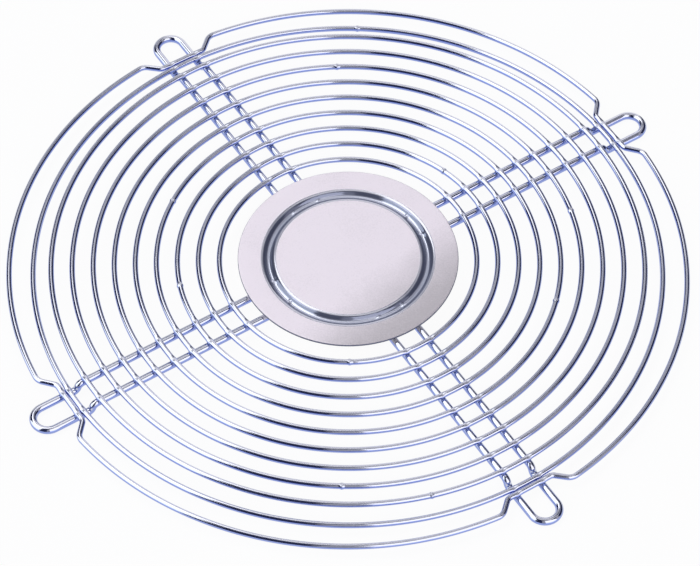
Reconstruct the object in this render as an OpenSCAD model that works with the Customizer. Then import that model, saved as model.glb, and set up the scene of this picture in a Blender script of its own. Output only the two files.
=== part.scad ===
// Wire fan guard: eleven ring wires welded on four hairpin spokes, with a pressed sheet disc
// over the motor hub. Millimetres, axis on +Z. The fan side faces down, and the low ends of the
// four spokes, bent into screw loops, stand on z = 0.

/* [Wire] */
// Diameter of the ring wires
ring_wire_d = 2.2; // [1.6:0.1:2.6]
// Diameter of the spoke wires
spoke_wire_d = 3; // [2.4:0.1:3.4]

/* [Centre disc] */
// Diameter of the disc
disc_d = 85.2; // [76:0.2:100]
// Thickness of its sheet
disc_t = 0.9; // [0.6:0.1:1.2]
// Diameter of the pressed groove, across its lowest line
groove_d = 61.6; // [56:0.2:66]
// Width of the groove between its rounded shoulders
groove_w = 5.8; // [5:0.1:7]
// Depth that the groove is pressed down
groove_depth = 1.3; // [0.9:0.1:1.8]

/* [Rings] */
// Radial gap between the disc's edge and the innermost ring's centre line
hub_gap = 7.1; // [5:0.1:10]
// Spacing of the evenly spaced rings
ring_pitch = 8.1; // [6:0.1:10]
// Spacing across the step in the spokes, from the even rings to the inner of the two low ones
step_gap = 7.1; // [6.6:0.1:10]
// Spacing of the two low rings
rim_gap = 9.4; // [8:0.1:13]

/* [Rim] */
// Radial clearance between the rim's jogs and the ring inside them
jog_clear = 0.2; // [0.1:0.05:0.6]
// How far the straight middle of a jog runs on past each leg of the spoke under it
jog_overhang = 3.2; // [2:0.1:5]
// Angle that the rim leaves a jog at
jog_angle = 42; // [35:1:50]
// Centre line radius of a jog's two inner bends
jog_inner_bend = 2.8; // [2:0.1:4]
// Centre line radius of a jog's two outer bends
jog_outer_bend = 4.5; // [3:0.1:6]
// How far the centres of the rim's four arcs lie out from the axis
rim_arc_offset = 4.5; // [0:0.5:8]

/* [Spokes] */
// Height of the step near the spokes' outer ends
step_h = 3; // [2:0.1:4]
// Centre line radius of the two bends of the step
step_bend = 3.5; // [2.8:0.1:4]
// Width of the slot inside the screw loops
loop_slot_w = 8.1; // [6:0.1:9]
// Length of the slot, from the rim's jog to the loop's round end
loop_slot_l = 12.5; // [10:0.5:16]
// How far the spokes' inner ends reach in past the groove's lowest line
spoke_tail = 4.6; // [3.6:0.1:6]

/* [Hidden] */

// Rings are numbered from the rim inwards
last_ring = 11;
first_even_ring = 3;
spokes = 4;
spoke_turn = 360 / spokes;
first_spoke_angle = spoke_turn / 2;
// Stretches of wire stop this far short of each change from one to the next, and a ball, a hair
// thicker than the wire, closes it
joint_trim = 0.1;
joint_over = 0.04;

bright_wire = [0.80, 0.81, 0.86];
satin_sheet = [0.88, 0.86, 0.87];

// Radii of the ring centre lines, worked out from the disc outwards
innermost_r = disc_d / 2 + hub_gap;
third_r = innermost_r + (last_ring - first_even_ring) * ring_pitch;
second_r = third_r + step_gap;
rim_r = second_r + rim_gap;
function ring_r(n) = n == 2 ? second_r : third_r - (n - first_even_ring) * ring_pitch;

// Heights of the centre lines: each ring rests on the spokes under it
low_spoke_z = (spoke_wire_d + joint_over) / 2;
high_spoke_z = low_spoke_z + step_h;
ring_over_spoke = (ring_wire_d + spoke_wire_d) / 2;
low_ring_z = low_spoke_z + ring_over_spoke;
high_ring_z = high_spoke_z + ring_over_spoke;
spoke_top_z = high_spoke_z + spoke_wire_d / 2;

// Spoke: two legs side by side, joined by the half round of the screw loop
leg_spacing = loop_slot_w + spoke_wire_d;
jog_r = second_r + ring_wire_d + jog_clear;
jog_flat = leg_spacing + 2 * jog_overhang;
slot_inner_r = jog_r + ring_wire_d / 2;
slot_outer_r = slot_inner_r + loop_slot_l;
loop_centre_r = slot_outer_r - loop_slot_w / 2;
leg_at_groove = sqrt(pow(groove_d / 2, 2) - pow(leg_spacing / 2, 2));
leg_start = leg_at_groove - spoke_tail;
// The step is two equal arcs, and its middle lies midway between the third and second rings
step_bend_angle = acos(1 - step_h / (2 * step_bend));
step_half_run = step_bend * sin(step_bend_angle);
step_mid = third_r + step_gap / 2;
step_in = step_mid - step_half_run;
step_out = step_mid + step_half_run;

// Jog, in the plane of a spoke's own frame: x out along the spoke, y across it
rim_arc_r = rim_r - rim_arc_offset;
rim_arc_centre = rim_arc_offset * [cos(spoke_turn / 2), sin(spoke_turn / 2)];
inner_bend_centre = [jog_r + jog_inner_bend, jog_flat / 2];
along_ramp = [sin(jog_angle), cos(jog_angle)];
across_ramp = [-cos(jog_angle), sin(jog_angle)];
ramp_start = inner_bend_centre + jog_inner_bend * across_ramp;
// The ramp runs on until its outer bend, inside the rim's arc, touches that arc
bend_offset = inner_bend_centre + (jog_inner_bend + jog_outer_bend) * across_ramp - rim_arc_centre;
bend_reach = rim_arc_r - jog_outer_bend;
ramp_l = sqrt(pow(bend_offset * along_ramp, 2) - bend_offset * bend_offset + pow(bend_reach, 2))
    - bend_offset * along_ramp;
ramp_end = ramp_start + ramp_l * along_ramp;
outer_bend_centre = bend_offset + rim_arc_centre + ramp_l * along_ramp;
rim_join_angle = atan2(
    outer_bend_centre[1] - rim_arc_centre[1], outer_bend_centre[0] - rim_arc_centre[0]
);
rim_join = outer_bend_centre + jog_outer_bend * [cos(rim_join_angle), sin(rim_join_angle)];
rim_arc_half = spoke_turn / 2 - rim_join_angle;

// Disc section: flat sheet with a groove of three arcs, each half of it turning the same angle
groove_r = groove_d / 2;
groove_turn = 2 * atan(groove_depth / (groove_w / 2));
groove_arc_r = groove_w / 4 / sin(groove_turn);
bend_centre_y = disc_t / 2 - groove_arc_r;
floor_centre_y = disc_t / 2 - groove_depth + groove_arc_r;
arc_steps = 10;
disc_under_z = spoke_top_z + groove_depth;

$fn = 48;

// A stretch of wire bent in the XY plane round the origin, from one angle to the other
module wire_bend(bend_r, wire_d, from, to) {
    trim = joint_trim / bend_r * 180 / PI;
    rotate_extrude(angle = to - from - 2 * trim, start = from + trim)
        translate([bend_r, 0])
            circle(d = wire_d);
}

// A straight stretch of wire along +X
module wire_run(length, wire_d)
    rotate([0, 90, 0])
        translate([0, 0, joint_trim])
            cylinder(d = wire_d, h = length - 2 * joint_trim);

// The ball at a change from one stretch to the next, with its poles along a wire that runs along +X
module wire_joint(wire_d)
    rotate([0, 90, 0])
        sphere(d = wire_d + joint_over);

// A closed ring, bent round and butt welded
module plain_ring(n)
    color(bright_wire)
        translate([0, 0, n == 2 ? low_ring_z : high_ring_z])
            rotate_extrude()
                translate([ring_r(n), 0])
                    circle(d = ring_wire_d);

// One side of a jog: inner bend, ramp and outer bend, up to where the rim's arc takes over
module jog_side() {
    translate([inner_bend_centre[0], inner_bend_centre[1], 0])
        wire_bend(jog_inner_bend, ring_wire_d, 180 - jog_angle, 180);
    translate([ramp_start[0], ramp_start[1], 0])
        rotate([0, 0, 90 - jog_angle])
            wire_run(ramp_l, ring_wire_d);
    translate([outer_bend_centre[0], outer_bend_centre[1], 0])
        wire_bend(jog_outer_bend, ring_wire_d, -jog_angle, rim_join_angle);
    for (joint = [
            [jog_r, jog_flat / 2, 90],
            [ramp_start[0], ramp_start[1], 90 - jog_angle],
            [ramp_end[0], ramp_end[1], 90 - jog_angle],
            [rim_join[0], rim_join[1], 90 + rim_join_angle]
        ])
        translate([joint[0], joint[1], 0])
            rotate([0, 0, joint[2]])
                wire_joint(ring_wire_d);
}

// The rim: four arcs, with a jog inwards over each spoke that leaves its screw loop clear
module outer_ring()
    color(bright_wire)
        translate([0, 0, low_ring_z])
            for (k = [0 : spokes - 1]) {
                rotate([0, 0, k * spoke_turn])
                    translate([rim_arc_offset, 0, 0])
                        wire_bend(rim_arc_r, ring_wire_d, -rim_arc_half, rim_arc_half);
                rotate([0, 0, first_spoke_angle + k * spoke_turn]) {
                    translate([jog_r, -jog_flat / 2, 0])
                        rotate([0, 0, 90])
                            wire_run(jog_flat, ring_wire_d);
                    jog_side();
                    mirror([0, 1, 0])
                        jog_side();
                }
            }

// One leg of a hairpin: high under the even rings, stepped down to the low rings and the loop
module spoke_leg() {
    translate([leg_start, 0, high_spoke_z])
        wire_run(step_in - leg_start, spoke_wire_d);
    translate([step_in, 0, high_spoke_z - step_bend])
        rotate([90, 0, 0])
            wire_bend(step_bend, spoke_wire_d, 90 - step_bend_angle, 90);
    translate([step_out, 0, low_spoke_z + step_bend])
        rotate([90, 0, 0])
            wire_bend(step_bend, spoke_wire_d, 270 - step_bend_angle, 270);
    translate([step_out, 0, low_spoke_z])
        wire_run(loop_centre_r - step_out, spoke_wire_d);
    for (joint = [
            [step_in, high_spoke_z, 0],
            [step_mid, (low_spoke_z + high_spoke_z) / 2, step_bend_angle],
            [step_out, low_spoke_z, 0],
            [loop_centre_r, low_spoke_z, 0]
        ])
        translate([joint[0], 0, joint[1]])
            rotate([0, joint[2], 0])
                wire_joint(spoke_wire_d);
}

// A spoke: one wire bent back on itself, so that its round end is a screw loop
module spoke(k)
    color(bright_wire)
        rotate([0, 0, first_spoke_angle + (k - 1) * spoke_turn]) {
            for (side = [-1, 1])
                translate([0, side * leg_spacing / 2, 0])
                    spoke_leg();
            translate([loop_centre_r, 0, low_spoke_z])
                wire_bend(leg_spacing / 2, spoke_wire_d, -90, 90);
        }

// Points round an arc
function arc(centre, r, from, to) = [
    for (i = [0 : arc_steps])
        centre + r * [cos(from + (to - from) * i / arc_steps), sin(from + (to - from) * i / arc_steps)]
];

// Points where two arcs meet are listed once
function from_second(points) = [for (i = [1 : len(points) - 1]) points[i]];

// Line through the groove from the panel's edge to the flange, at a height above the sheet's mid line
function groove_line(above) = concat(
    arc([groove_r - groove_w / 2, bend_centre_y], groove_arc_r + above, 90, 90 - groove_turn),
    from_second(arc(
        [groove_r, floor_centre_y], groove_arc_r - above, 270 - groove_turn, 270 + groove_turn
    )),
    from_second(arc(
        [groove_r + groove_w / 2, bend_centre_y], groove_arc_r + above, 90 + groove_turn, 90
    ))
);

// Half section of the disc, with its underside beside the groove on y = 0
module disc_section() {
    under = groove_line(-disc_t / 2);
    polygon(concat(
        [[0, disc_t]], groove_line(disc_t / 2), [[disc_d / 2, disc_t], [disc_d / 2, 0]],
        [for (i = [len(under) - 1 : -1 : 0]) under[i]], [[0, 0]]
    ));
}

// The disc: its groove stands on the spokes, and is welded to each leg there
module centre_disc()
    color(satin_sheet)
        translate([0, 0, disc_under_z])
            rotate_extrude()
                disc_section();

outer_ring();
for (n = [2 : last_ring])
    plain_ring(n);
for (k = [1 : spokes])
    spoke(k);
centre_disc();
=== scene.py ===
import math

import bpy
import numpy as np
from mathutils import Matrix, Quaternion, Vector


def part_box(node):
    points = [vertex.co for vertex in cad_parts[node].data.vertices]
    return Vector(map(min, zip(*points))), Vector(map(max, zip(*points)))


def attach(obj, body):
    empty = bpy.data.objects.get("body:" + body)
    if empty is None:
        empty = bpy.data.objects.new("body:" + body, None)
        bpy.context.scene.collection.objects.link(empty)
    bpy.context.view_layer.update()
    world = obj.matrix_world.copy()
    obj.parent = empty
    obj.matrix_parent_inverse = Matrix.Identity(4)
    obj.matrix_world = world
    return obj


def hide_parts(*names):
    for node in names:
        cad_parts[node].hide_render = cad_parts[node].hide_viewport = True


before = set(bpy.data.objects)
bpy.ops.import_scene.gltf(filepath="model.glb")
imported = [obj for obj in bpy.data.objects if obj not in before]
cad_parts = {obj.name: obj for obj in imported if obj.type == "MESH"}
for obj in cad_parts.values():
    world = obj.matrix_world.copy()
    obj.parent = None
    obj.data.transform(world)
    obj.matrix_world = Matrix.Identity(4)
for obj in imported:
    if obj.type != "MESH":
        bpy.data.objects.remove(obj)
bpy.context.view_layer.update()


# ---- Spokes ---------------------------------------------------------------------------------
# Four hairpins of 3 mm drawn steel wire. Each is bent back on itself so that its round end is a
# screw loop, and both legs are stepped down together before the loop. Rings are welded on top.

spoke_count = 4
first_spoke_angle = 45
spoke_wire_r = 0.0015
leg_spacing = 0.0111
leg_start = 0.0257
step_bend_r = 0.0024
step_height = 0.003
step_middle = 0.1174
loop_centre = 0.13355
low_leg_z = 0.00152
cut_bevel = 0.0002
around_wire = 24
high_run_points = 90
low_run_points = 14
step_bend_points = 14
loop_points = 41
off_bend = 0.0005
# Painted light on the wire: painted shade darker down both flanks and a painted highlight on the
# crown.
flank_shade_colour = (0.28, 0.35, 0.70, 1)
crown_highlight_colour = (0.64, 0.66, 0.72, 1)
wire_cloud_size = 0.012
tone_by_cloud = 0.25
wire_roughness = 0.10
duller_by_weld = 0.22
duller_by_cloud = 0.10


def tube_mesh(name, rows, material, lengths, ends=None, swell=None):
    """Skin over a grid of points: each row is a loop round the tube and meets itself, and each
    point joins its neighbours in the next row. Without ends the last row joins the first, and
    with them a fan of triangles shuts each end. The map holds the length along the tube, in
    metres, and the share of a turn round it. A float attribute holds how near a weld is."""
    count, around = rows.shape[:2]
    spans = count if ends is None else count - 1
    i, j = np.mgrid[0:spans, 0:around]
    here, there = i * around, (i + 1) % count * around
    beside = (j + 1) % around
    faces = np.stack([here + j, here + beside, there + beside, there + j], -1)
    faces = faces.reshape(-1, 4).tolist()
    u0, u1 = lengths[i], lengths[i + 1]
    v0, v1 = j / around, (j + 1) / around
    wrap = np.stack([u0, v0, u0, v1, u1, v1, u1, v0], -1).reshape(-1, 2)
    points = rows.reshape(-1, 3)
    near_weld = np.zeros(count) if swell is None else swell
    near_weld = np.repeat(near_weld, around)
    if ends is not None:
        j = np.arange(around)
        turn = np.stack([j + 1, j, j + 0.5], -1).reshape(-1) / around
        first, last, top = len(points), len(points) + 1, (count - 1) * around
        faces += np.stack([(j + 1) % around, j, first + 0 * j], -1).tolist()
        faces += np.stack([top + j, top + (j + 1) % around, last + 0 * j], -1).tolist()
        wrap = np.vstack([wrap, np.stack([0 * turn + lengths[0], turn], -1)])
        turn = np.stack([j, j + 1, j + 0.5], -1).reshape(-1) / around
        wrap = np.vstack([wrap, np.stack([0 * turn + lengths[-1], turn], -1)])
        points = np.vstack([points, ends])
        near_weld = np.append(near_weld, near_weld[[0, -1]])
    mesh = bpy.data.meshes.new(name)
    mesh.from_pydata(points.tolist(), [], faces)
    mesh.uv_layers.new(name="wrap").data.foreach_set("uv", wrap.astype(np.float32).ravel())
    mesh.attributes.new("near_weld", "FLOAT", "POINT").data.foreach_set(
        "value", near_weld.astype(np.float32))
    mesh.polygons.foreach_set("use_smooth", np.ones(len(mesh.polygons), dtype=bool))
    mesh.materials.append(material)
    mesh.update()
    piece = bpy.data.objects.new(name, mesh)
    bpy.context.scene.collection.objects.link(piece)
    return piece


def wire_rows(line, wire_r, closed):
    """Rows of points round a wire: at each point of its centre line, a circle of the wire's
    radius in the plane across the line, counted from its crown, the side nearest to +Z."""
    if closed:
        heading = np.roll(line, -1, 0) - np.roll(line, 1, 0)
    else:
        heading = np.gradient(line, axis=0)
    heading /= np.linalg.norm(heading, axis=1, keepdims=True)
    side = np.cross(heading, [0.0, 0.0, 1.0])
    side /= np.linalg.norm(side, axis=1, keepdims=True)
    crown = np.cross(side, heading)
    turn = np.linspace(0, 2 * math.pi, around_wire, endpoint=False)[None, :, None]
    spread = np.cos(turn) * crown[:, None] + np.sin(turn) * side[:, None]
    return line[:, None] + wire_r[:, None, None] * spread


def run_lengths(line, closed):
    """Length along a centre line at each point, with the way back to the start if it closes."""
    points = np.vstack([line, line[:1]]) if closed else line
    return np.append(0.0, np.cumsum(np.linalg.norm(np.diff(points, axis=0), axis=1)))


def turned(points, degrees):
    """Points turned about +Z."""
    a = math.radians(degrees)
    across = [[math.cos(a), math.sin(a), 0], [-math.sin(a), math.cos(a), 0], [0, 0, 1]]
    return points @ np.array(across)


def hairpin_line():
    """Centre line of a hairpin along +X: a high run, two equal arcs down to a low run, half a
    circle round the loop, and the same leg back on its other side."""
    bend = math.acos(1 - step_height / (2 * step_bend_r))
    reach = step_bend_r * math.sin(bend)
    high_z = low_leg_z + step_height
    a = np.linspace(0, bend, step_bend_points)
    down_x = step_middle - reach + step_bend_r * np.sin(a)
    down_z = high_z - step_bend_r * (1 - np.cos(a))
    level_x = step_middle + reach - step_bend_r * np.sin(a[-2::-1])
    level_z = low_leg_z + step_bend_r * (1 - np.cos(a[-2::-1]))
    high_x = np.linspace(leg_start + 3 * cut_bevel, down_x[0] - off_bend, high_run_points)
    high_x = np.append([leg_start, leg_start + cut_bevel], high_x)
    low_x = np.linspace(level_x[-1] + off_bend, loop_centre - off_bend, low_run_points)
    x = np.concatenate([high_x, down_x, level_x, low_x])
    z = np.concatenate([0 * high_x + high_z, down_z, level_z, 0 * low_x + low_leg_z])
    leg = np.stack([x, 0 * x - leg_spacing / 2, z], -1)
    a = np.linspace(-math.pi / 2, math.pi / 2, loop_points)
    loop = np.stack([loop_centre + leg_spacing / 2 * np.cos(a), leg_spacing / 2 * np.sin(a),
                     0 * a + low_leg_z], -1)
    return np.concatenate([leg, loop, leg[::-1] * [1, -1, 1]])


def plating_group():
    """Shader group of the plating's unevenness: slow clouds and a fine grain. Each is a noise
    shifted so that it lies round zero, with its size in metres as an input."""
    group = bpy.data.node_groups.new("plating", "ShaderNodeTree")
    add = group.interface.new_socket
    add("Vector", in_out="INPUT", socket_type="NodeSocketVector")
    for name, default in (("Cloud size", 0.02), ("Grain size", 0.0006)):
        add(name, in_out="INPUT", socket_type="NodeSocketFloat").default_value = default
    add("Cloud", in_out="OUTPUT", socket_type="NodeSocketFloat")
    add("Grain", in_out="OUTPUT", socket_type="NodeSocketFloat")
    nodes, link = group.nodes, group.links.new
    came, left = nodes.new("NodeGroupInput"), nodes.new("NodeGroupOutput")
    for out, size, detail in (("Cloud", "Cloud size", 3.0), ("Grain", "Grain size", 2.0)):
        scale = nodes.new("ShaderNodeMath")
        scale.operation = "DIVIDE"
        scale.inputs[0].default_value = 1.0
        link(came.outputs[size], scale.inputs[1])
        noise = nodes.new("ShaderNodeTexNoise")
        noise.inputs["Detail"].default_value = detail
        link(came.outputs["Vector"], noise.inputs["Vector"])
        link(scale.outputs[0], noise.inputs["Scale"])
        centred = nodes.new("ShaderNodeMath")
        centred.operation = "SUBTRACT"
        centred.inputs[1].default_value = 0.5
        link(noise.outputs["Fac"], centred.inputs[0])
        link(centred.outputs[0], left.inputs[out])
    return group


plating = plating_group()


def wire_finish():
    """Bright plating on drawn wire, coloured with a painted highlight on the crown and painted
    shade darker down both flanks, a little cloudy, with faint marks along the wire, and duller
    by a weld."""
    material = bpy.data.materials.new("bright_plated_wire")
    material.use_nodes = True
    nodes, link = material.node_tree.nodes, material.node_tree.links.new
    metal = nodes["Principled BSDF"]
    metal.inputs["Metallic"].default_value = 1.0
    place = nodes.new("ShaderNodeTexCoord")
    wrap = nodes.new("ShaderNodeUVMap")
    wrap.uv_map = "wrap"
    split = nodes.new("ShaderNodeSeparateXYZ")
    link(wrap.outputs[0], split.inputs[0])
    around = nodes.new("ShaderNodeMath")
    around.operation = "MULTIPLY"
    around.inputs[1].default_value = 2 * math.pi
    link(split.outputs["Y"], around.inputs[0])
    crown = nodes.new("ShaderNodeMath")
    crown.operation = "COSINE"
    link(around.outputs[0], crown.inputs[0])
    uneven = nodes.new("ShaderNodeGroup")
    uneven.node_tree = plating
    link(place.outputs["Object"], uneven.inputs["Vector"])
    uneven.inputs["Cloud size"].default_value = wire_cloud_size
    shifted = nodes.new("ShaderNodeMath")
    shifted.operation = "MULTIPLY_ADD"
    shifted.inputs[1].default_value = tone_by_cloud
    link(uneven.outputs["Cloud"], shifted.inputs[0])
    link(crown.outputs[0], shifted.inputs[2])
    # Painted light: the ramp runs from painted flank shade to a painted crown highlight, shifted
    # a little by the plating's random clouds.
    tone = nodes.new("ShaderNodeValToRGB")
    tone.color_ramp.interpolation = "EASE"
    tone.color_ramp.elements[0].position = 0.40
    tone.color_ramp.elements[0].color = flank_shade_colour
    tone.color_ramp.elements[1].position = 0.76
    tone.color_ramp.elements[1].color = crown_highlight_colour
    link(shifted.outputs[0], tone.inputs[0])
    link(tone.outputs[0], metal.inputs["Base Color"])
    weld = nodes.new("ShaderNodeAttribute")
    weld.attribute_name = "near_weld"
    rough = nodes.new("ShaderNodeMath")
    rough.operation = "MULTIPLY_ADD"
    rough.inputs[1].default_value = duller_by_weld
    rough.inputs[2].default_value = wire_roughness
    link(weld.outputs["Fac"], rough.inputs[0])
    rougher = nodes.new("ShaderNodeMath")
    rougher.operation = "MULTIPLY_ADD"
    rougher.inputs[1].default_value = duller_by_cloud
    link(uneven.outputs["Cloud"], rougher.inputs[0])
    link(rough.outputs[0], rougher.inputs[2])
    link(rougher.outputs[0], metal.inputs["Roughness"])
    drawn = nodes.new("ShaderNodeMapping")
    drawn.inputs["Scale"].default_value = (14, 7, 1)
    link(wrap.outputs[0], drawn.inputs["Vector"])
    lines = nodes.new("ShaderNodeTexNoise")
    lines.inputs["Scale"].default_value = 3.0
    link(drawn.outputs[0], lines.inputs["Vector"])
    bump = nodes.new("ShaderNodeBump")
    bump.inputs["Strength"].default_value = 0.05
    bump.inputs["Distance"].default_value = 0.0001
    link(lines.outputs["Fac"], bump.inputs["Height"])
    link(bump.outputs[0], metal.inputs["Normal"])
    return material


bright_wire = wire_finish()
spoke_line = hairpin_line()
spoke_r = np.full(len(spoke_line), spoke_wire_r)
spoke_r[[0, -1]] -= cut_bevel
for k in range(spoke_count):
    line = turned(spoke_line, first_spoke_angle + 90 * k)
    hairpin = tube_mesh("hairpin_%d" % (k + 1), wire_rows(line, spoke_r, False), bright_wire,
                        run_lengths(line, False), line[[0, -1]])
    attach(hairpin, "root")
    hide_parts("spoke_%d" % (k + 1))


# ---- Plain rings ----------------------------------------------------------------------------
# Ten rings of 2.2 mm drawn steel wire. Each is rolled round, cut and butt welded, which leaves
# a small upset collar, and is then resistance welded on top of all eight legs of the spokes.

ring_wire_r = 0.0011
collar_proud = 0.00022
collar_half = 0.0006
press_half = 0.0010
side_spread = 0.17
crown_press = 0.20
ring_step = 1.25
leg_steps = 6
leg_step = 0.0004
joint_reach = 4
joint_points = 25
closest_points = 0.00012
ring_joints = {2: 100.5, 3: 297.8, 4: 281.0, 5: 104.9, 6: 27.7, 7: 358.0, 8: 170.0, 9: 204.3,
               10: 61.7, 11: 282.9}


def collar(distance):
    """Upset of a butt weld: a bell curve of the distance along the wire from the joint."""
    return np.exp(-(distance / collar_half) ** 2)


def pressed(line):
    """How much a crossing is pressed, at each point of a ring's line: a bell curve of the
    distance, across a spoke, from the nearest leg, summed over the eight legs."""
    total = np.zeros(len(line))
    for k in range(spoke_count):
        along, across = turned(line, -first_spoke_angle - 90 * k)[:, :2].T
        total += (along > 0) * np.exp(-((np.abs(across) - leg_spacing / 2) / press_half) ** 2)
    return total


def press_rows(rows, line, press):
    """Rows of a ring with the marks of the electrodes: the crown goes down and the sides come
    out by shares of the press."""
    off = rows - line[:, None]
    off[..., :2] *= 1 + side_spread * press[:, None, None]
    off[..., 2] *= np.where(off[..., 2] > 0, 1 - crown_press * press[:, None], 1.0)
    return line[:, None] + off


def angle_from(place, bearing):
    """Angle in radians from one bearing to others in degrees, the shorter way round."""
    return np.radians((bearing - place + 180) % 360 - 180)


def leg_bearings(r):
    """Bearings in degrees at which a circle about the axis crosses the eight legs."""
    off_spoke = np.degrees(math.asin(leg_spacing / 2 / r))
    return [first_spoke_angle + 90 * k + side * off_spoke
            for k in range(spoke_count) for side in (-1, 1)]


def ring_angles(ring_r, joint):
    """Angles in degrees round a ring: even steps, with finer ones by its joint and by each
    leg, and without those that would crowd the next one."""
    leg_run = np.linspace(-leg_steps, leg_steps, 2 * leg_steps + 1) * leg_step / ring_r
    joint_run = np.linspace(-joint_reach, joint_reach, joint_points) * collar_half / ring_r
    by_leg = np.add.outer(leg_bearings(ring_r), np.degrees(leg_run)).ravel()
    by_joint = joint + np.degrees(joint_run)
    angles = np.concatenate([np.arange(0, 360, ring_step), by_leg, by_joint])
    angles = np.sort(angles % 360)
    apart = np.diff(angles, append=angles[0] + 360)
    return angles[apart > np.degrees(closest_points / ring_r)]


for n, joint in ring_joints.items():
    low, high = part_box("ring_%d" % n)
    ring_r = (high[0] - low[0]) / 2 - ring_wire_r
    angle = ring_angles(ring_r, joint)
    a = np.radians(angle)
    line = np.stack([ring_r * np.cos(a), ring_r * np.sin(a), 0 * a + (low[2] + high[2]) / 2], -1)
    upset = collar(ring_r * angle_from(joint, angle))
    rows = wire_rows(line, ring_wire_r + collar_proud * upset, True)
    rows[..., 2] = np.minimum(rows[..., 2], high[2])
    press = pressed(line)
    ring = tube_mesh("ring_wire_%d" % n, press_rows(rows, line, press), bright_wire,
                     run_lengths(line, True), swell=np.maximum(upset, press))
    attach(ring, "root")
    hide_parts("ring_%d" % n)


# ---- Outer ring -----------------------------------------------------------------------------
# The rim, of the same 2.2 mm wire, low on the spokes. Over each spoke it is bent inwards in a
# jog with a straight middle, so that the screw loop stays clear. It is butt welded once, and
# the joint is dressed flush.

jog_reach = 0.124
jog_flat = 0.0175
jog_angle = 42
inner_bend_r = 0.0028
outer_bend_r = 0.0045
rim_offset = 0.0045
rim_joint = 190.3
fewest_steps = 4
most_turn_a_step = 4
bend_step = 0.002
straight_step = 0.0006


def bent_line(start, heading, stretches):
    """Centre line of a bent wire, as a bender makes it: from a start and a heading in degrees,
    each stretch is a length and how far it turns, and the line is the running sum of short
    steps, each along the heading at its middle."""
    pieces = []
    for length, turn in stretches:
        step = bend_step if turn else straight_step
        count = max(fewest_steps, int(abs(turn) / most_turn_a_step) + 1, int(length / step))
        part = heading + turn * (np.arange(count) + 0.5) / count
        chord = length / count
        if turn:
            half = math.radians(turn / count / 2)
            chord *= math.sin(half) / half
        a = np.radians(part)
        pieces.append(chord * np.stack([np.cos(a), np.sin(a)], -1))
        heading += turn
    return start + np.vstack([[0, 0], np.cumsum(np.concatenate(pieces), axis=0)])


def rim_line(rim_r, z):
    """Centre line of the rim. A quarter of it is half a jog's flat, an inner bend outwards, a
    ramp, an outer bend back, the rim's arc, and the same stretches again in reverse. The ramp
    ends where its outer bend touches the arc, whose centre lies off the axis."""
    arc_r = rim_r - rim_offset
    a = math.radians(jog_angle)
    arc_centre = rim_offset * np.array([math.cos(math.pi / 4), math.sin(math.pi / 4)])
    along, across = np.array([math.sin(a), math.cos(a)]), np.array([-math.cos(a), math.sin(a)])
    bend_centre = np.array([jog_reach + inner_bend_r, jog_flat / 2])
    offset = bend_centre + (inner_bend_r + outer_bend_r) * across - arc_centre
    reach = arc_r - outer_bend_r
    ramp = math.sqrt((offset @ along) ** 2 - offset @ offset + reach**2) - offset @ along
    touch = offset + ramp * along
    touch = math.degrees(math.atan2(touch[1], touch[0]))
    jog = [(jog_flat / 2, 0), (inner_bend_r * a, -jog_angle), (ramp, 0),
           (outer_bend_r * math.radians(jog_angle + touch), jog_angle + touch)]
    sweep = 90 - 2 * touch
    quarter = jog + [(arc_r * math.radians(sweep), sweep)] + jog[::-1]
    flat = bent_line(np.array([jog_reach, 0]), 90, quarter)[:-1]
    flat = np.column_stack([flat, np.full(len(flat), z)])
    return np.concatenate([turned(flat, first_spoke_angle + 90 * k) for k in range(spoke_count)])


low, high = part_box("outer_ring")
line = rim_line(high[0] - ring_wire_r, (low[2] + high[2]) / 2)
bearing = np.degrees(np.arctan2(line[:, 1], line[:, 0]))
joint_gap = angle_from(rim_joint, bearing) * np.hypot(line[:, 0], line[:, 1])
upset = collar(joint_gap)
press = pressed(line)
even_r = np.full(len(line), ring_wire_r)
rows = press_rows(wire_rows(line, even_r, True), line, press)
rim = tube_mesh("rim_wire", rows, bright_wire, run_lengths(line, True),
                swell=np.maximum(upset, press))
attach(rim, "root")
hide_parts("outer_ring")


# ---- Weld beads -----------------------------------------------------------------------------
# Where a ring lies across a leg, resistance welding melts a little of both wires together and
# squeezes out a small waisted bead that fills the corner between them.

around_bead = 20
bead_levels = 7
bead_on_leg = (0.00190, 0.00110)
bead_on_ring = (0.00100, 0.00205)
bead_waist = 0.18
bead_root = 0.00005
# Share of a turn round the wire whose painted shade the beads take, between the painted crown
# highlight and the painted flank shade.
bead_shade_turn = 0.15
groove_seat_r = 0.0308
groove_under_r = 0.0023925


def waisted_beads(places, lean, contact_z, over_r):
    """Beads between a leg and what crosses it. Each level is an oval whose two half axes go
    from those on the leg to those on the crossing wire, less a waist that is a half sine, and
    whose points go from the round of the leg's surface to the round of the other's."""
    w = np.linspace(0, 1, bead_levels)[None, :, None]
    a = np.linspace(0, 2 * math.pi, around_bead, endpoint=False)[None, None, :]
    waist = 1 - bead_waist * np.sin(math.pi * w)
    half_x, half_y = [low + (top - low) * w for low, top in zip(bead_on_leg, bead_on_ring)]
    x = half_x * waist * np.cos(a)
    y = half_y * waist * np.sin(a)
    on_leg = -(spoke_wire_r - np.sqrt(spoke_wire_r**2 - y**2)) - bead_root
    over = over_r[:, None, None]
    on_ring = over - np.sqrt(over**2 - x**2) + bead_root
    z = contact_z[:, None, None] + on_leg + (on_ring - on_leg) * w
    lean = lean[:, None, None]
    u = places[:, 0, None, None] + x - y * np.sin(lean)
    v = places[:, 1, None, None] + y * np.cos(lean)
    return np.stack([u, v, z], -1)


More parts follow.
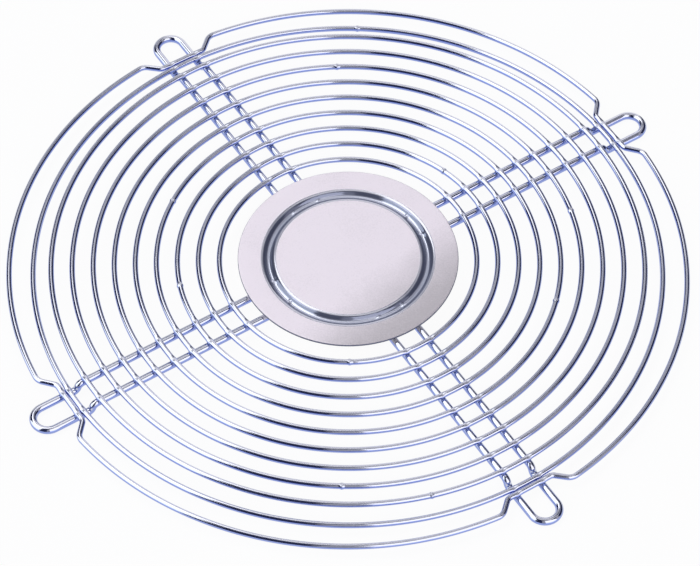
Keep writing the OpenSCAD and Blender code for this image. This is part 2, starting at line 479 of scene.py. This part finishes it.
def bead_mesh(name, beads, material):
    """One mesh of many beads, each a grid of levels that meets itself, shut by two fans. All
    of it is by a weld, and the map gives it the painted shade of a wire's flank."""
    count, levels, around = beads.shape[:3]
    size = levels * around + 2
    ends = np.stack([beads[:, 0].mean(1), beads[:, -1].mean(1)], 1)
    points = np.concatenate([beads.reshape(count, -1, 3), ends], 1).reshape(-1, 3)
    i, j = np.mgrid[0:levels - 1, 0:around]
    beside = (j + 1) % around
    quads = np.stack([i * around + j, i * around + beside, (i + 1) * around + beside,
                      (i + 1) * around + j], -1).reshape(-1, 4)
    j = np.arange(around)
    top = (levels - 1) * around
    low_fan = np.stack([(j + 1) % around, j, 0 * j + size - 2], -1)
    top_fan = np.stack([top + j, top + (j + 1) % around, 0 * j + size - 1], -1)
    start = size * np.arange(count)[:, None, None]
    faces = (quads + start).reshape(-1, 4).tolist()
    faces += (np.concatenate([low_fan, top_fan]) + start).reshape(-1, 3).tolist()
    mesh = bpy.data.meshes.new(name)
    mesh.from_pydata(points.tolist(), [], faces)
    # Every bead gets one painted shade from the wire's ramp.
    wrap = mesh.uv_layers.new(name="wrap").data
    wrap.foreach_set("uv", np.tile([0.0, bead_shade_turn], len(wrap)).astype(np.float32))
    near_weld = mesh.attributes.new("near_weld", "FLOAT", "POINT").data
    near_weld.foreach_set("value", np.ones(len(near_weld), dtype=np.float32))
    mesh.polygons.foreach_set("use_smooth", np.ones(len(mesh.polygons), dtype=bool))
    mesh.materials.append(material)
    mesh.update()
    piece = bpy.data.objects.new(name, mesh)
    bpy.context.scene.collection.objects.link(piece)
    return piece


ring_centre_r = np.array([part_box("ring_%d" % n)[1][0] - ring_wire_r for n in ring_joints])
over_leg = leg_spacing / 2
across_u = np.sqrt(ring_centre_r**2 - over_leg**2)
seat_u = math.sqrt(groove_seat_r**2 - over_leg**2)
u = np.concatenate([across_u, [jog_reach, seat_u]])
lean = np.append(np.arctan2(over_leg, across_u), [0, math.atan2(over_leg, seat_u)])
high_z = low_leg_z + step_height + spoke_wire_r
low_z = low_leg_z + spoke_wire_r
contact = np.where(u > step_middle, low_z, high_z)
over_r = np.append(0 * across_u + ring_wire_r, [ring_wire_r, groove_under_r])
beads = []
for side in (-1, 1):
    places = np.stack([u, 0 * u + side * over_leg], -1)
    half = waisted_beads(places, side * lean, contact, over_r)
    beads += [turned(half, first_spoke_angle + 90 * k) for k in range(spoke_count)]
weld_beads = bead_mesh("weld_beads", np.concatenate(beads), bright_wire)
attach(weld_beads, "root")


# ---- Centre disc ----------------------------------------------------------------------------
# One blank of 0.9 mm steel sheet, satin, with a round groove pressed down into it that comes
# out bright. The groove's floor sits on the legs, and the spot weld at each leg leaves a small
# raised mark in it.

disc_r = 0.0426
sheet_t = 0.0009
groove_r = groove_seat_r
groove_width = 0.0058
groove_depth = 0.0013
rim_round = 0.00022
mark_half = 0.0007
mark_proud = 0.00022
mark_across = 0.0012
around_disc = 720
groove_points = 9
satin_colour = (0.99, 0.93, 0.96, 1)
# Painted shade: the sheet's colour goes darker towards one side of the disc.
shaded_side_colour = (0.60, 0.57, 0.58, 1)
shaded_side_way = (0.84, -0.54, 0)
shaded_side_from = 0.008
# Painted shade in the groove: the walls are coloured darker than its floor and lip.
groove_floor_colour = (0.62, 0.65, 0.74, 1)
groove_wall_shade_colour = (0.24, 0.26, 0.34, 1)
groove_lip_colour = (0.60, 0.61, 0.66, 1)
# Painted shade darkening the sheet's rounded edge.
edge_shade_colour = (0.16, 0.17, 0.24, 1)
edge_shade_inset = 0.00006
groove_roughness = 0.11
satin_roughness = 0.60


def disc_section():
    """Half section of the disc, from the middle of its top to the middle of its underside, as
    radii and heights above the flat sheet's underside. Each side of the groove is two arcs
    that turn the same angle, so a level runs smoothly down and up again."""
    half_t = sheet_t / 2
    bend = 2 * math.atan(groove_depth / (groove_width / 2))
    bend_r = groove_width / 4 / math.sin(bend)
    a = np.linspace(0, bend, groove_points)
    rows = []
    for above in (half_t, -half_t):
        shoulder, floor = bend_r + above, bend_r - above
        x = groove_r - groove_width / 2 + shoulder * np.sin(a)
        y = half_t - bend_r + shoulder * np.cos(a)
        b = np.linspace(-bend, 0, groove_points)[1:]
        x = np.append(x, groove_r + floor * np.sin(b))
        y = np.append(y, half_t - groove_depth + bend_r - floor * np.cos(b))
        x, y = np.append(x, 2 * groove_r - x[-2::-1]), np.append(y, y[-2::-1])
        rows.append((x, y))
    (top_x, top_y), (under_x, under_y) = rows
    panel = np.array([0.002, 0.008, 0.016, 0.022, 0.0262])
    flange = np.array([0.0355, 0.038, 0.0405, 0.0418])
    edge = np.radians([90, 60, 30, 0])
    edge_x, edge_y = disc_r - rim_round + rim_round * np.cos(edge), rim_round * np.sin(edge)
    x = np.concatenate([panel, top_x, flange, edge_x, edge_x[::-1], flange[::-1],
                        under_x[::-1], panel[::-1]])
    y = np.concatenate([0 * panel + sheet_t, top_y, 0 * flange + sheet_t,
                        sheet_t - rim_round + edge_y, rim_round - edge_y[::-1], 0 * flange,
                        under_y[::-1], 0 * panel])
    return x, y


def sheet_material():
    """Satin plating on the flat of the sheet, with a fine grain and painted shade darker towards
    one side, the bright stretched metal of the groove with painted shade down its walls, and
    painted shade darkening the edge, told apart by how far a point is from the axis."""
    material = bpy.data.materials.new("satin_sheet")
    material.use_nodes = True
    nodes, link = material.node_tree.nodes, material.node_tree.links.new
    metal = nodes["Principled BSDF"]
    metal.inputs["Metallic"].default_value = 0.7
    place = nodes.new("ShaderNodeTexCoord")
    flat = nodes.new("ShaderNodeMapping")
    flat.inputs["Scale"].default_value = (1, 1, 0)
    link(place.outputs["Object"], flat.inputs["Vector"])
    out = nodes.new("ShaderNodeVectorMath")
    out.operation = "LENGTH"
    link(flat.outputs[0], out.inputs[0])
    off_groove = nodes.new("ShaderNodeMath")
    off_groove.operation = "SUBTRACT"
    off_groove.inputs[1].default_value = groove_r
    link(out.outputs["Value"], off_groove.inputs[0])
    apart = nodes.new("ShaderNodeMath")
    apart.operation = "ABSOLUTE"
    link(off_groove.outputs[0], apart.inputs[0])
    satin = nodes.new("ShaderNodeMapRange")
    satin.interpolation_type = "SMOOTHSTEP"
    satin.inputs["From Min"].default_value = groove_width / 2 - 0.0002
    satin.inputs["From Max"].default_value = groove_width / 2 + 0.0003
    link(apart.outputs[0], satin.inputs["Value"])
    # Painted shade: the satin colour darkens towards one side of the disc, mixed with the random
    # clouds and grain.
    toward_shaded_side = nodes.new("ShaderNodeVectorMath")
    toward_shaded_side.operation = "DOT_PRODUCT"
    toward_shaded_side.inputs[1].default_value = shaded_side_way
    link(place.outputs["Object"], toward_shaded_side.inputs[0])
    shaded_side = nodes.new("ShaderNodeMapRange")
    shaded_side.interpolation_type = "SMOOTHSTEP"
    shaded_side.inputs["From Min"].default_value = shaded_side_from
    shaded_side.inputs["From Max"].default_value = disc_r
    link(toward_shaded_side.outputs["Value"], shaded_side.inputs["Value"])
    uneven = nodes.new("ShaderNodeGroup")
    uneven.node_tree = plating
    uneven.inputs["Cloud size"].default_value = 0.014
    uneven.inputs["Grain size"].default_value = 0.0005
    link(place.outputs["Object"], uneven.inputs["Vector"])
    clouded = nodes.new("ShaderNodeMath")
    clouded.operation = "MULTIPLY_ADD"
    clouded.inputs[1].default_value = 0.35
    link(uneven.outputs["Cloud"], clouded.inputs[0])
    link(shaded_side.outputs[0], clouded.inputs[2])
    grained = nodes.new("ShaderNodeMath")
    grained.operation = "MULTIPLY_ADD"
    grained.inputs[1].default_value = 0.55
    link(uneven.outputs["Grain"], grained.inputs[0])
    link(clouded.outputs[0], grained.inputs[2])
    tone = nodes.new("ShaderNodeMix")
    tone.data_type = "RGBA"
    tone.inputs["A"].default_value = satin_colour
    tone.inputs["B"].default_value = shaded_side_colour
    link(grained.outputs[0], tone.inputs["Factor"])
    colour = nodes.new("ShaderNodeMix")
    colour.data_type = "RGBA"
    link(satin.outputs[0], colour.inputs["Factor"])
    share = nodes.new("ShaderNodeMath")
    share.operation = "DIVIDE"
    share.inputs[1].default_value = groove_width / 2
    link(apart.outputs[0], share.inputs[0])
    # Painted shade down the groove's walls, between a lighter floor and lip, by distance across
    # the groove.
    groove_shading = nodes.new("ShaderNodeValToRGB")
    groove_shading.color_ramp.interpolation = "EASE"
    groove_shading.color_ramp.elements[0].position = 0.16
    groove_shading.color_ramp.elements[0].color = groove_floor_colour
    groove_shading.color_ramp.elements[1].position = 0.36
    groove_shading.color_ramp.elements[1].color = groove_wall_shade_colour
    for position, shade in ((0.62, groove_wall_shade_colour), (0.80, groove_lip_colour)):
        groove_shading.color_ramp.elements.new(position).color = shade
    link(share.outputs[0], groove_shading.inputs[0])
    link(groove_shading.outputs[0], colour.inputs["A"])
    link(tone.outputs["Result"], colour.inputs["B"])
    # Painted shade: the colour goes dark over the sheet's rounded edge.
    edge_shade = nodes.new("ShaderNodeMapRange")
    edge_shade.inputs["From Min"].default_value = disc_r - rim_round
    edge_shade.inputs["From Max"].default_value = disc_r - edge_shade_inset
    link(out.outputs["Value"], edge_shade.inputs["Value"])
    edged = nodes.new("ShaderNodeMix")
    edged.data_type = "RGBA"
    edged.inputs["B"].default_value = edge_shade_colour
    link(edge_shade.outputs[0], edged.inputs["Factor"])
    link(colour.outputs["Result"], edged.inputs["A"])
    link(edged.outputs["Result"], metal.inputs["Base Color"])
    rough = nodes.new("ShaderNodeMapRange")
    rough.inputs["To Min"].default_value = groove_roughness
    rough.inputs["To Max"].default_value = satin_roughness
    link(satin.outputs[0], rough.inputs["Value"])
    link(rough.outputs[0], metal.inputs["Roughness"])
    height = nodes.new("ShaderNodeMath")
    height.operation = "MULTIPLY"
    link(uneven.outputs["Grain"], height.inputs[0])
    link(satin.outputs[0], height.inputs[1])
    bump = nodes.new("ShaderNodeBump")
    bump.inputs["Strength"].default_value = 0.35
    bump.inputs["Distance"].default_value = 0.0001
    link(height.outputs[0], bump.inputs["Height"])
    link(bump.outputs[0], metal.inputs["Normal"])
    return material


sheet_finish = sheet_material()
low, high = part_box("centre_disc")
x, y = disc_section()
turn = np.linspace(0, 2 * math.pi, around_disc, endpoint=False)[None, :]
flat_under = high[2] - sheet_t
rows = np.stack([x[:, None] * np.cos(turn), x[:, None] * np.sin(turn),
                 flat_under + y[:, None] + 0 * turn], -1)
bearing = np.degrees(np.arctan2(rows[..., 1], rows[..., 0]))
off_middle = (x[:, None] - groove_r) / mark_across
mark = np.zeros(rows.shape[:2])
for place in leg_bearings(groove_r):
    beside = angle_from(place, bearing) * groove_r / mark_half
    mark += np.exp(-beside ** 2) * np.exp(-off_middle ** 2)
above_underside = y[:, None] > 0.5 * sheet_t - groove_depth
below_shoulder = y[:, None] < sheet_t - mark_proud
rows[..., 2] += mark_proud * mark * (above_underside & below_shoulder)
length = np.append(0, np.cumsum(np.hypot(np.diff(x), np.diff(y))))
disc = tube_mesh("hub_disc", rows, sheet_finish, length,
                 np.array([[0, 0, high[2]], [0, 0, flat_under]]))
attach(disc, "root")
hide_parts("centre_disc")


# ---- Studio ---------------------------------------------------------------------------------
# A pale floor that the guard stands on, large soft lights and cards round it and over it, and a
# dim blue room behind them.

floor_size = 40.0
floor_glow = 0.94
corners = floor_size * np.array([[-1, -1, 0], [1, -1, 0], [1, 1, 0], [-1, 1, 0]])
mesh = bpy.data.meshes.new("floor")
mesh.from_pydata(corners.tolist(), [], [(0, 1, 2, 3)])
floor = bpy.data.objects.new("floor", mesh)
bpy.context.scene.collection.objects.link(floor)
pale = bpy.data.materials.new("pale_floor")
pale.use_nodes = True
nodes, link = pale.node_tree.nodes, pale.node_tree.links.new
nodes.clear()
paint = nodes.new("ShaderNodeBsdfDiffuse")
paint.inputs["Color"].default_value = (0.9, 0.9, 0.9, 1)
glow = nodes.new("ShaderNodeEmission")
path = nodes.new("ShaderNodeLightPath")
seen = nodes.new("ShaderNodeMath")
seen.operation = "MAXIMUM"
link(path.outputs["Is Camera Ray"], seen.inputs[0])
link(path.outputs["Is Glossy Ray"], seen.inputs[1])
also = nodes.new("ShaderNodeMath")
also.operation = "MAXIMUM"
link(seen.outputs[0], also.inputs[0])
link(path.outputs["Is Transmission Ray"], also.inputs[1])
share = nodes.new("ShaderNodeMath")
share.operation = "MULTIPLY"
share.inputs[1].default_value = floor_glow
link(also.outputs[0], share.inputs[0])
both = nodes.new("ShaderNodeMixShader")
link(share.outputs[0], both.inputs[0])
link(paint.outputs[0], both.inputs[1])
link(glow.outputs[0], both.inputs[2])
out = nodes.new("ShaderNodeOutputMaterial")
link(both.outputs[0], out.inputs["Surface"])
mesh.materials.append(pale)


def soft_light(name, bearing, out, up, width, depth, lies, brightness, colour):
    """Oblong soft light at a bearing in degrees from the front, and at metres out and up. It
    stands upright and faces the guard, or lies flat over it. Its brightness is that of its
    face, where 1 is white."""
    data = bpy.data.lights.new(name, "AREA")
    data.shape = "RECTANGLE"
    data.size, data.size_y = width, depth
    data.energy = brightness * math.pi * width * depth
    data.color = colour
    lamp = bpy.data.objects.new(name, data)
    a = math.radians(bearing + front_bearing)
    lamp.location = (out * math.cos(a), out * math.sin(a), up)
    lamp.rotation_euler = (0 if lies else math.pi / 2, 0, a + math.pi / 2)
    lamp.visible_camera = False
    bpy.context.scene.collection.objects.link(lamp)


front_bearing = 281.76
for light in (
    ("left_light", -76, 3.0, 2.2, 3.6, 4.4, False, 1.6, (0.92, 0.97, 1.0)),
    ("high_left_light", -116, 1.65, 3.0, 3.4, 1.7, True, 2.1, (1.0, 0.99, 1.0)),
    ("right_light", 35.5, 2.0, 2.75, 2.08, 5.5, False, 1.6, (0.99, 0.97, 1.0)),
    ("back_light", 175, 3.0, 1.5, 1.8, 3.0, False, 1.0, (1.0, 0.97, 1.0)),
    ("high_back_light", 180, 2.34, 3.0, 3.4, 0.8, True, 0.5, (1.0, 0.98, 1.0)),
    ("back_left_card", -155, 3.0, 1.5, 1.4, 3.0, False, 0.5, (0.95, 0.95, 1.0)),
    ("side_card", 72, 3.0, 1.5, 1.3, 3.0, False, 0.5, (1.0, 0.95, 1.0)),
    ("front_card", 0, 2.0, 2.75, 0.56, 5.0, False, 0.4, (1.0, 0.98, 1.0)),
    ("high_right_card", 115, 2.1, 3.0, 3.0, 0.7, True, 0.5, (1.0, 0.97, 1.0)),
    ("overhead_card", 160, 0.7, 3.0, 2.0, 1.6, True, 0.8, (1.0, 0.98, 0.98)),
):
    soft_light(*light)

world = bpy.data.worlds.new("room")
bpy.context.scene.world = world
world.use_nodes = True
world.node_tree.nodes["Background"].inputs["Color"].default_value = (0.025, 0.03, 0.08, 1)
world.node_tree.nodes["Background"].inputs["Strength"].default_value = 1.0

camera_data = bpy.data.cameras.new("camera")
camera_data.sensor_width = 36
camera_data.lens = 179.8
camera_data.clip_end = 80
camera = bpy.data.objects.new("camera", camera_data)
bpy.context.scene.collection.objects.link(camera)
camera_place = Vector((0.16982, -0.81572, 1.06877))
camera_aim = Vector((0.003233, -0.011558, 0.007118))
camera_roll = math.radians(0.689)
camera.location = camera_place
aim = (camera_aim - camera_place).to_track_quat("-Z", "Y")
camera.rotation_mode = "QUATERNION"
camera.rotation_quaternion = aim @ Quaternion((0, 0, 1), camera_roll)
bpy.context.scene.camera = camera
bpy.context.scene.view_settings.view_transform = "Standard"
